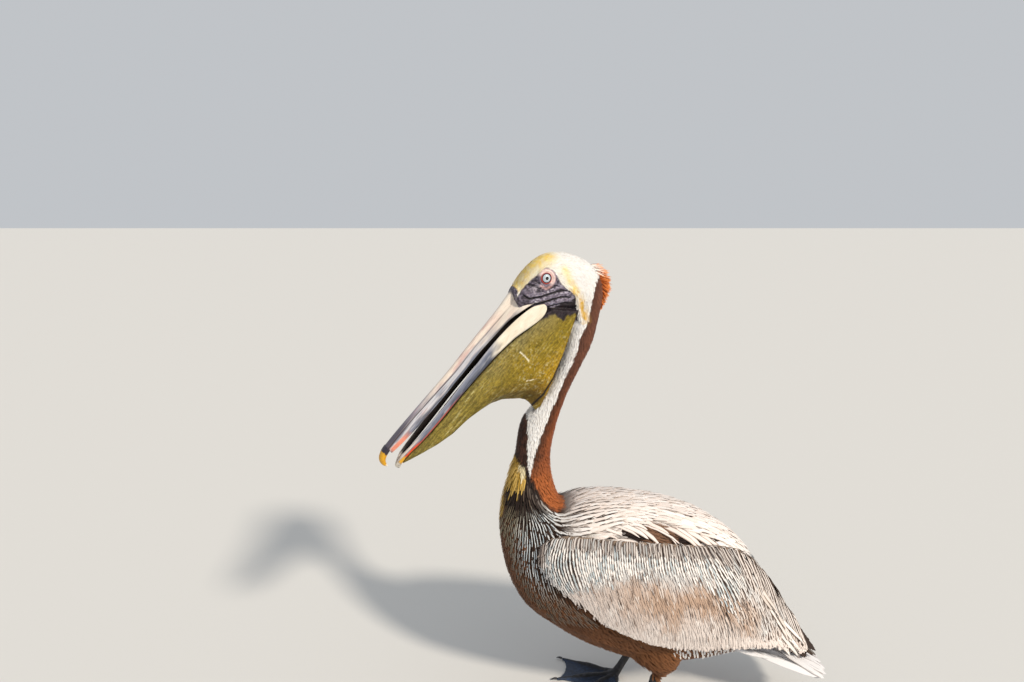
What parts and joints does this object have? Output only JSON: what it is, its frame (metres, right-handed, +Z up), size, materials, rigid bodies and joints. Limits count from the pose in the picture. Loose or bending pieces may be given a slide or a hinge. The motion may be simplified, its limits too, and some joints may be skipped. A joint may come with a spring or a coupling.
{
  "type": "brown pelican model",
  "caption": "Life-size still model of a standing brown pelican, head turned to its left, long bill pointing down and slightly open over a hanging throat pouch.",
  "frame": {"origin": "middle of the footprint of the whole bird, on the floor that it stands on", "axes": "-Y is where the breast faces, +X is the bird's left, +Z is up"},
  "size_m": [0.2042, 0.6974, 0.7406],
  "materials": {
    "brown_plumage": "dark brown breast, belly and thigh feathers, soft and matt",
    "chestnut_plumage": "short velvety neck feathers, chestnut and white",
    "cream_plumage": "short cream and yellow head feathers, matt",
    "silver_feathers": "silvery wing and tail feathers, satin",
    "horn": "cream and grey bill horn, low sheen",
    "nail_horn": "yellow hooked nail of the bill, glossy horn",
    "pouch_skin": "bare olive-yellow throat skin, finely wrinkled",
    "leg_skin": "black scaly leg and web skin",
    "claw_horn": "black claw horn",
    "eye": "wet pale eye with a dark pupil"
  },
  "bodies": {
    "root": {"trunk": "brown_plumage", "neck_lower": "chestnut_plumage", "neck_middle": "chestnut_plumage", "neck_upper": "chestnut_plumage", "head": "cream_plumage", "nape_crest": "cream_plumage", "bill_upper": "horn", "bill_nail": "nail_horn", "bill_lower": "horn", "pouch": "pouch_skin", "tail": "silver_feathers", "eye_left": "eye", "eye_right": "eye", "wing_left": "silver_feathers", "thigh_left": "brown_plumage", "shank_left": "leg_skin", "foot_left": "leg_skin", "claw_outer_left": "claw_horn", "claw_middle_left": "claw_horn", "claw_inner_left": "claw_horn", "claw_hind_left": "claw_horn", "wing_right": "silver_feathers", "thigh_right": "brown_plumage", "shank_right": "leg_skin", "foot_right": "leg_skin", "claw_outer_right": "claw_horn", "claw_middle_right": "claw_horn", "claw_inner_right": "claw_horn", "claw_hind_right": "claw_horn"}
  },
  "joints": []
}
